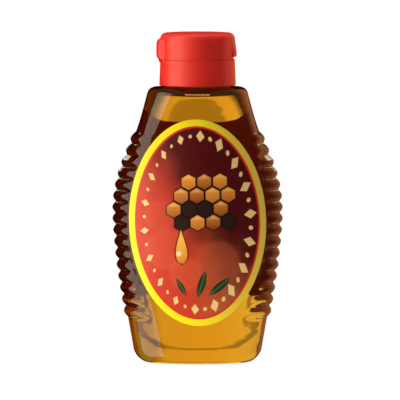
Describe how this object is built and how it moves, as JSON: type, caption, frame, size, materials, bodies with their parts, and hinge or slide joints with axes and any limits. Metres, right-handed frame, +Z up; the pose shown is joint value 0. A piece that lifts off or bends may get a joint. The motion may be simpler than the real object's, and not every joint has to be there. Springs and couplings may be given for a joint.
{
  "type": "honey squeeze bottle",
  "caption": "Oval ribbed squeeze bottle of honey with oval labels and a screw cap that has a spout and a flip lid.",
  "frame": {"origin": "middle of the base, on the plane that the bottle stands on", "axes": "+Z up, the front label looks along -Y, the flip lid hinges at -X"},
  "size_m": [0.0916, 0.0466, 0.1769],
  "materials": {
    "clear_plastic": "clear, glossy, blow moulded",
    "honey": "clear amber liquid",
    "label_film": "printed film, satin gloss",
    "liner_foam": "matte foam",
    "cap_plastic": "moulded, soft gloss"
  },
  "bodies": {
    "bottle": {"bottle": "clear_plastic", "honey": "honey", "front_label": "label_film", "back_label": "label_film"},
    "liner": {"liner": "liner_foam"},
    "cap": {"cap_base": "cap_plastic", "hinge_strap": "cap_plastic"},
    "lid": {"flip_lid": "cap_plastic"}
  },
  "joints": [
    {"name": "cap_lift", "type": "slide", "parent": "bottle", "child": "liner", "axis": [0, 0, 1], "range_m": [0, 0.00635]},
    {"name": "cap_turn", "type": "hinge", "parent": "liner", "child": "cap", "pos_m": [0, 0, 0.1626], "axis": [0, 0, 1], "range_deg": [0, 540]},
    {"name": "lid_flip", "type": "hinge", "parent": "cap", "child": "lid", "pos_m": [-0.0208, 0, 0.1626], "axis": [0, -1, 0], "range_deg": [0, 135], "deforming": ["hinge_strap"]}
  ],
  "couplings": [
    {"joint": "cap_lift", "follows": "cap_turn", "m_per_rad": 0.0006737}
  ]
}
